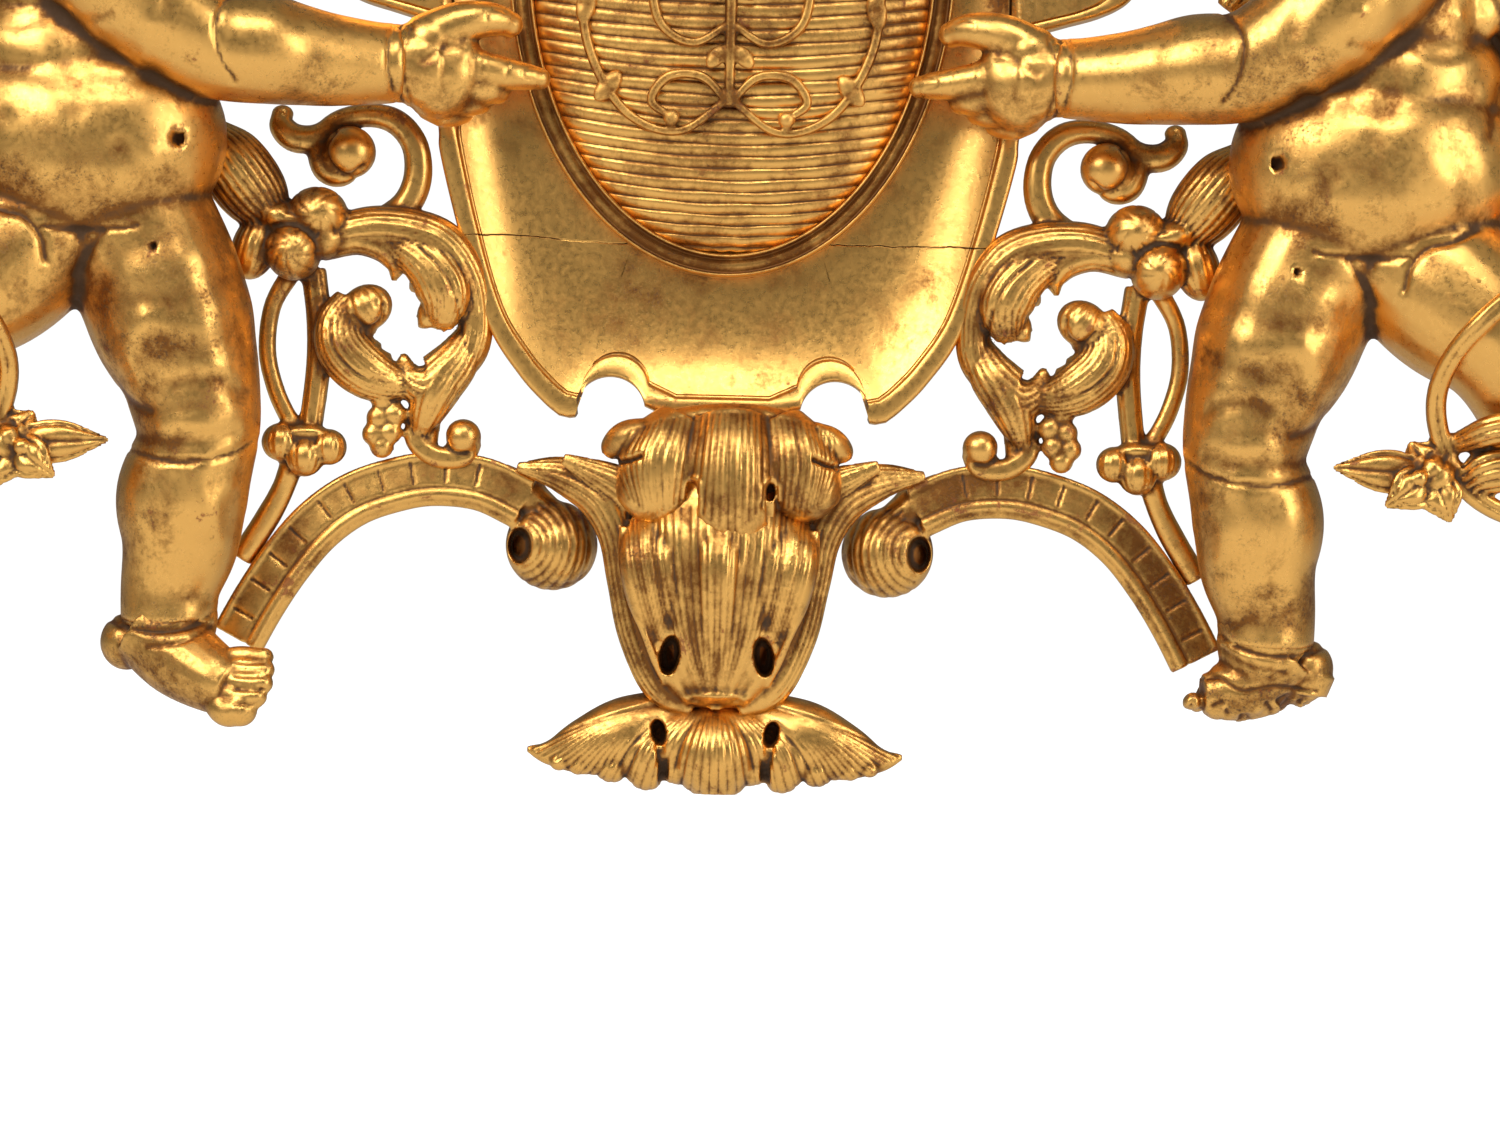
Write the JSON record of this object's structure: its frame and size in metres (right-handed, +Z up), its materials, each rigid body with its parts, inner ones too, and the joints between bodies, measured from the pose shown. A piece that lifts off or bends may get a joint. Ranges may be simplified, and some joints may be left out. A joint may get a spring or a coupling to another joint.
{
  "type": "cherub wall plaque",
  "caption": "Carved giltwood wall plaque with winged cherubs holding a dished cartouche and reeded oval, above openwork leaf scrolls, arched brackets and a leaf finial.",
  "frame": {"origin": "on the flat back, where it meets the wall, behind the centre of the oval", "axes": "+X to the viewer's right along the plaque's width, +Y into the wall, +Z up"},
  "size_m": [1.0666, 0.1481, 0.831],
  "materials": {
    "gilt_field": "bright water gilding over wood, satin, rubbed to red bole at the edges",
    "gilt_figure": "worn toned gilding over wood, brown patina in the hollows",
    "gilt_carving": "burnished gilding over wood, dark grime in the cuts"
  },
  "bodies": {
    "root": {"arch_left": "gilt_carving", "arch_right": "gilt_carving", "calyx": "gilt_carving", "cartouche": "gilt_field", "cherub_left": "gilt_figure", "cherub_right": "gilt_figure", "crest": "gilt_carving", "garland_left": "gilt_carving", "garland_right": "gilt_carving", "leaf_cap": "gilt_carving", "oval_foliage": "gilt_carving", "oval_frame": "gilt_carving", "oval_panel": "gilt_carving", "pendant_leaf": "gilt_carving", "scrollwork_left": "gilt_carving", "scrollwork_right": "gilt_carving", "wing_inner_left": "gilt_carving", "wing_inner_right": "gilt_carving", "wing_outer_left": "gilt_carving", "wing_outer_right": "gilt_carving"}
  },
  "joints": []
}
